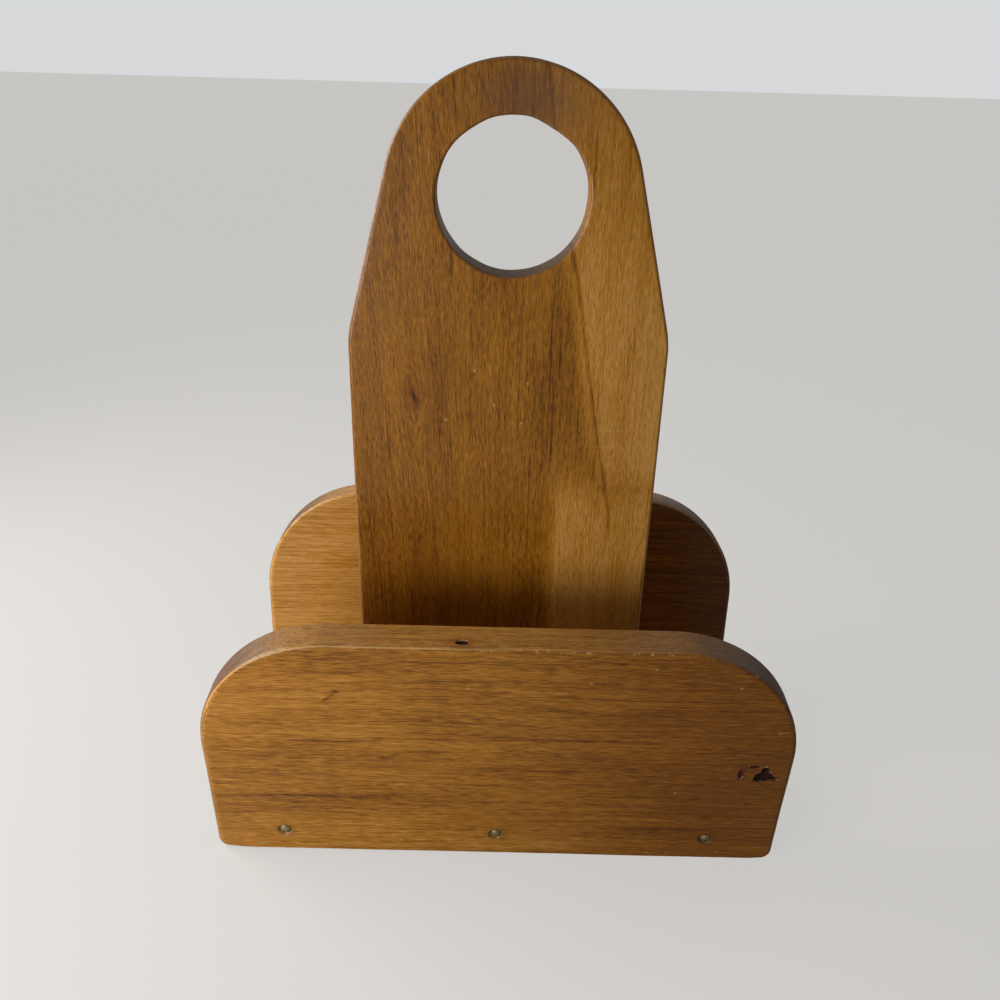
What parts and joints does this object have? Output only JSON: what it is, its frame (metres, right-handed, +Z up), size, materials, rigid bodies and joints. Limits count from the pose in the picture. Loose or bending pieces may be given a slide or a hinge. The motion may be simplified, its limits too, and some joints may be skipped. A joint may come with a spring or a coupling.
{
  "type": "napkin holder",
  "caption": "Hand-made wooden napkin holder: leaning side panels nailed to a base block, and a tall arched handle board with a round hand hole between them.",
  "frame": {"origin": "on the table, under the middle of the base block", "axes": "+X to the right along the panels, +Y from the front panel to the back panel, +Z up the handle board"},
  "size_m": [0.152, 0.0916, 0.198],
  "materials": {
    "panel_wood": "honey-brown varnished hardwood, grain along the panel, satin sheen with worn edges",
    "handle_wood": "honey-brown varnished hardwood, upright grain, satin sheen",
    "base_wood": "brown varnished hardwood, grain along the block",
    "nail_steel": "dull aged steel",
    "screw_steel": "dull zinc-grey steel"
  },
  "bodies": {
    "root": {"front_panel": "panel_wood", "back_panel": "panel_wood", "handle_board": "handle_wood", "base_block": "base_wood", "front_nail_left": "nail_steel", "front_nail_middle": "nail_steel", "front_nail_right": "nail_steel", "back_nail_left": "nail_steel", "back_nail_middle": "nail_steel", "back_nail_right": "nail_steel", "handle_screw_left": "screw_steel", "handle_screw_right": "screw_steel"}
  },
  "joints": []
}
